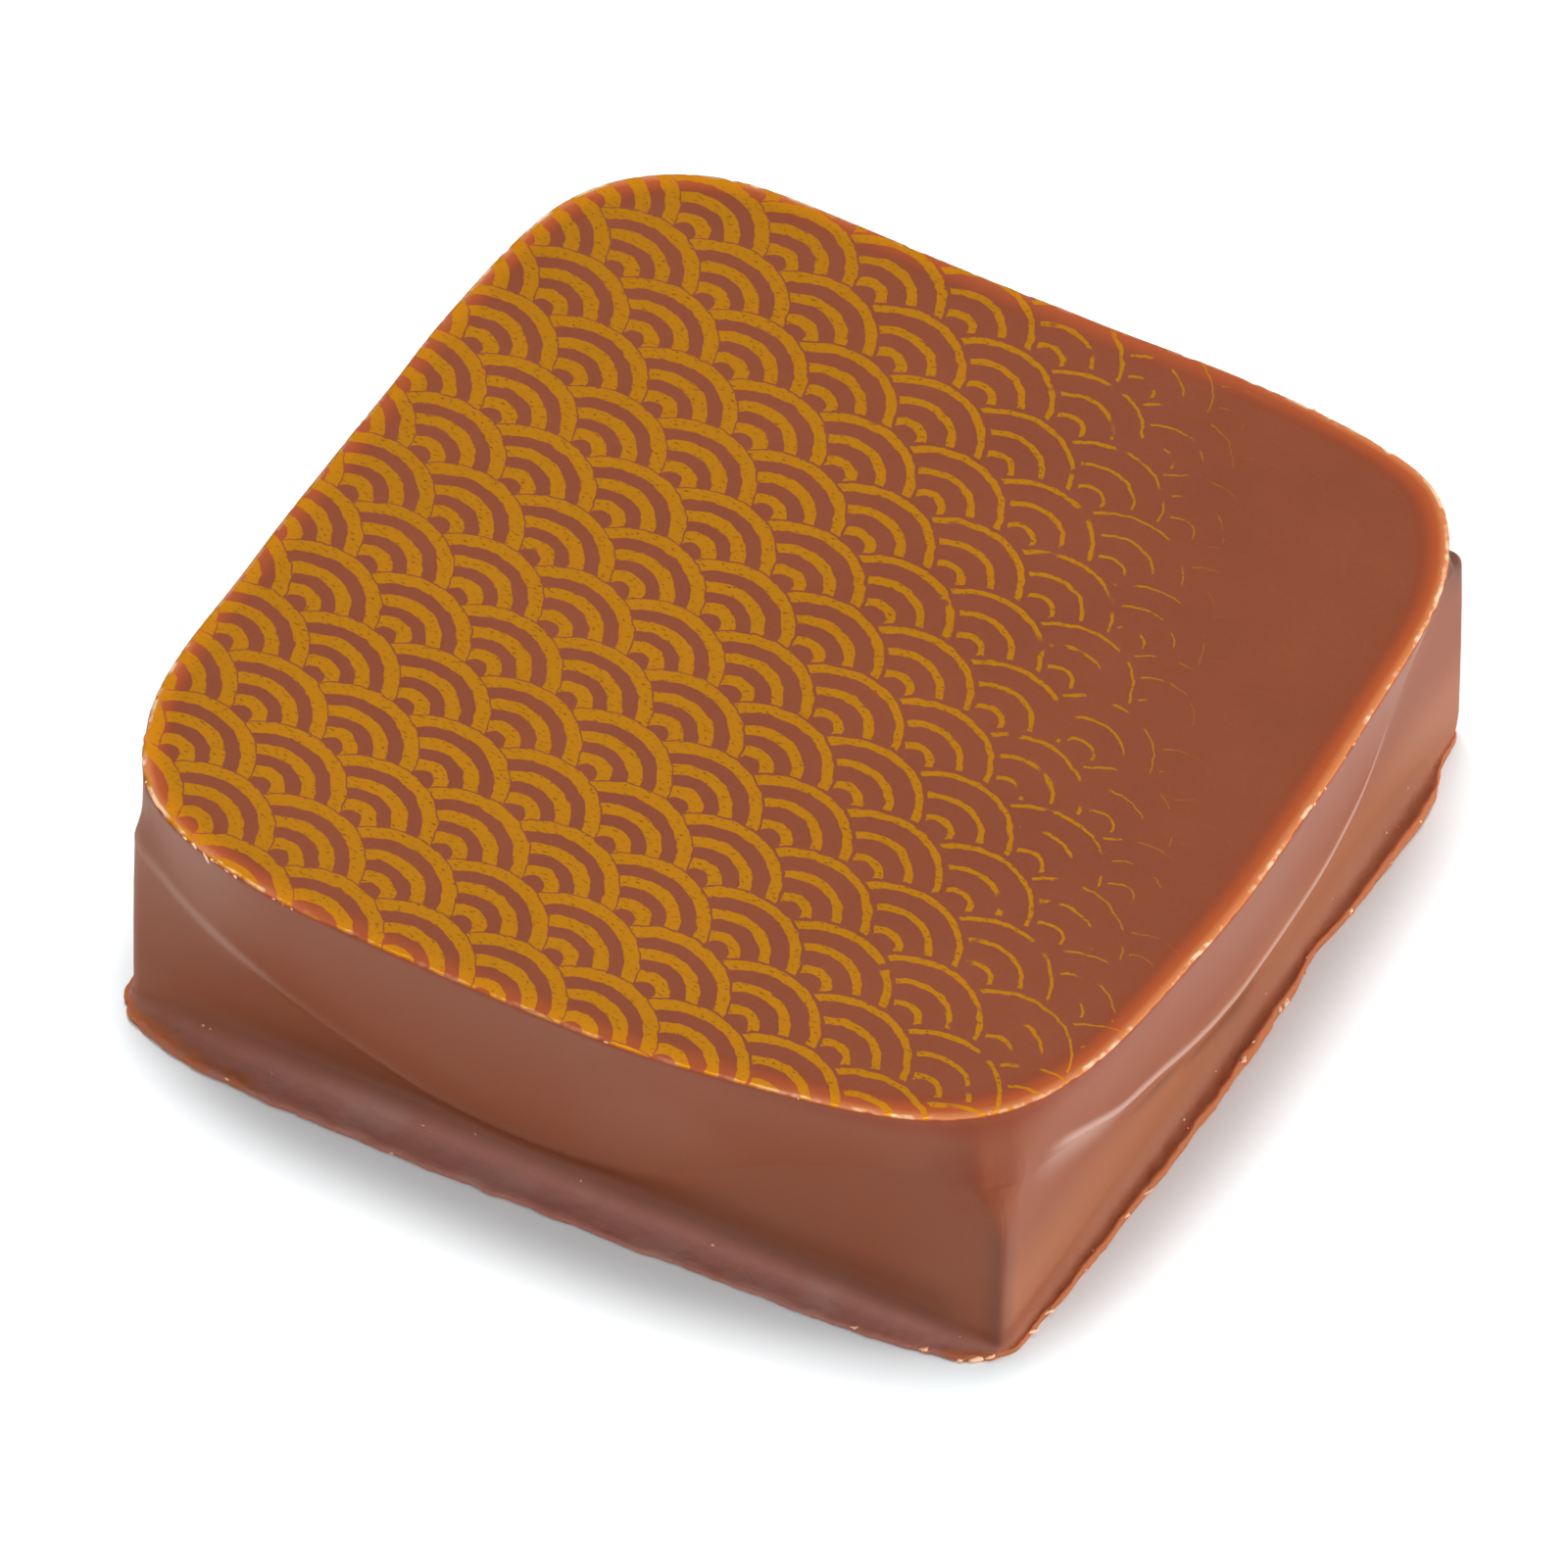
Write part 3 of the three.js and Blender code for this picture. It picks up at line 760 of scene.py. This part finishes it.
    gloss = fromTo(tree, cloud, 0.3, 0.7, *chocolate["roughness"], eased=False)
    gloss = calc(tree, "ADD", gloss, calc(tree, "MULTIPLY", onFoot, chocolate["footRougher"]))
    tree.links.new(gloss, shader.inputs["Roughness"])
    tree.links.new(calc(tree, "MULTIPLY", mask, chocolate["inkMetal"]), shader.inputs["Metallic"])
    bump = tree.nodes.new("ShaderNodeBump")
    bump.inputs["Strength"].default_value = 1.0
    bump.inputs["Distance"].default_value = chocolate["footDents"]
    dents = calc(tree, "MULTIPLY", noiseAt(tree, place, chocolate["footGrain"], 2.0, 0.6), onFoot)
    tree.links.new(dents, bump.inputs["Height"])
    tree.links.new(bump.outputs["Normal"], shader.inputs["Normal"])
    shader.inputs["Subsurface Weight"].default_value = chocolate["through"]
    shader.inputs["Subsurface Radius"].default_value = chocolate["throughColours"]
    shader.inputs["Subsurface Scale"].default_value = chocolate["throughDepth"]
    shader.inputs["Specular IOR Level"].default_value = chocolate["shine"]
    return material


def chipMaterial(grain):
    material = bpy.data.materials.new("chippedChocolate")
    material.use_nodes = True
    tree = material.node_tree
    shader = tree.nodes["Principled BSDF"]
    place = tree.nodes.new("ShaderNodeTexCoord").outputs["Object"]
    speckle = grainNode(tree, grain, place, chips["grain"])
    colour = blendColour(tree, speckle.outputs["Shade"], chips["brown"], chips["pale"])
    tree.links.new(colour, shader.inputs["Base Color"])
    shader.inputs["Roughness"].default_value = chips["roughness"]
    bump = tree.nodes.new("ShaderNodeBump")
    bump.inputs["Strength"].default_value = 0.4
    bump.inputs["Distance"].default_value = chips["grainDepth"]
    tree.links.new(speckle.outputs["Height"], bump.inputs["Height"])
    tree.links.new(bump.outputs["Normal"], shader.inputs["Normal"])
    shader.inputs["Specular IOR Level"].default_value = chips["shine"]
    return material


# A soft white room with one key light overhead behind the left side and two low softboxes;
# lamps as place and sides in metres, and power in watts
studio = {
    "floorSide": 8.0,
    "floorShades": ((0.86, 0.86, 0.86, 1), (0.88, 0.88, 0.88, 1)),
    "sky": 0.6,
    "skyColour": (0.82, 0.99, 1.04, 1),
    "keyLight": ((-0.09, 0.14, 1.0), (0.32, 0.32), 8.8),
    "sideSoftbox": ((0.66, 0.06, 0.09), (0.45, 0.16), 4.4),
    "frontSoftbox": ((-0.1, -0.66, 0.09), (0.45, 0.16), 1.4),
}


def buildFloor():
    bm = bmesh.new()
    bmesh.ops.create_grid(bm, x_segments=8, y_segments=8, size=studio["floorSide"] / 2)
    floor = newPiece(bm, "paleFloor")
    material = bpy.data.materials.new("paleFloor")
    material.use_nodes = True
    tree = material.node_tree
    shader = tree.nodes["Principled BSDF"]
    place = tree.nodes.new("ShaderNodeTexCoord").outputs["Object"]
    white = blendColour(tree, noiseAt(tree, place, 6.0, 2.0), *studio["floorShades"])
    tree.links.new(white, shader.inputs["Base Color"])
    shader.inputs["Roughness"].default_value = 0.7
    shader.inputs["Specular IOR Level"].default_value = 0.2
    floor.data.materials.append(material)


def buildLights():
    world = bpy.data.worlds.new("softWhite")
    bpy.context.scene.world = world
    world.use_nodes = True
    world.node_tree.nodes["Background"].inputs["Color"].default_value = studio["skyColour"]
    world.node_tree.nodes["Background"].inputs["Strength"].default_value = studio["sky"]
    for name in ("keyLight", "sideSoftbox", "frontSoftbox"):
        place, sides, power = studio[name]
        light = bpy.data.lights.new(name, "AREA")
        light.shape = "RECTANGLE"
        light.size, light.size_y = sides
        light.energy = power
        lamp = bpy.data.objects.new(name, light)
        lamp.location = place
        lamp.rotation_euler = (Vector((0, 0, 0.005)) - Vector(place)).to_track_quat("-Z", "Y").to_euler()
        bpy.context.scene.collection.objects.link(lamp)


view = {
    "azimuth": 27.256,
    "elevation": 46.355,
    "roll": 1.36,
    "target": (0.065, -1.1365, 5.0),
    "distance": 900.0,
    "focal": 30057.0,  # in pixels
    "pictureWidth": 1600,  # in pixels
}


def buildCamera():
    azimuth, elevation, roll = (math.radians(view[key]) for key in ("azimuth", "elevation", "roll"))
    level = math.cos(elevation)
    back = Vector((math.sin(azimuth) * level, -math.cos(azimuth) * level, math.sin(elevation)))
    right = Vector((math.cos(azimuth), math.sin(azimuth), 0))
    up = back.cross(right)
    lens = bpy.data.cameras.new("camera")
    lens.sensor_width = 36
    lens.lens = view["focal"] / view["pictureWidth"] * lens.sensor_width
    lens.clip_end = 100
    camera = bpy.data.objects.new("camera", lens)
    across = right * math.cos(roll) + up * math.sin(roll)
    upward = up * math.cos(roll) - right * math.sin(roll)
    turned = Matrix((across, upward, back))
    place = (Vector(view["target"]) + back * view["distance"]) * mm
    camera.matrix_world = Matrix.Translation(place) @ turned.transposed().to_4x4()
    bpy.context.scene.collection.objects.link(camera)
    bpy.context.scene.camera = camera


buildCamera()
print("camera set")

body = buildBody()
print("body built,", len(body.data.polygons), "faces")

loose = buildChips()
print("chips built,", len(loose.data.polygons), "faces")

grain = cocoaGrainGroup()
body.data.materials.append(chocolateMaterial(grain))
loose.data.materials.append(chipMaterial(grain))
print("materials made")

for piece in (body, loose):
    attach(piece, "root")
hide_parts("chocolate_body")

buildFloor()
buildLights()
bpy.context.scene.view_settings.view_transform = "Standard"
print("studio lit")
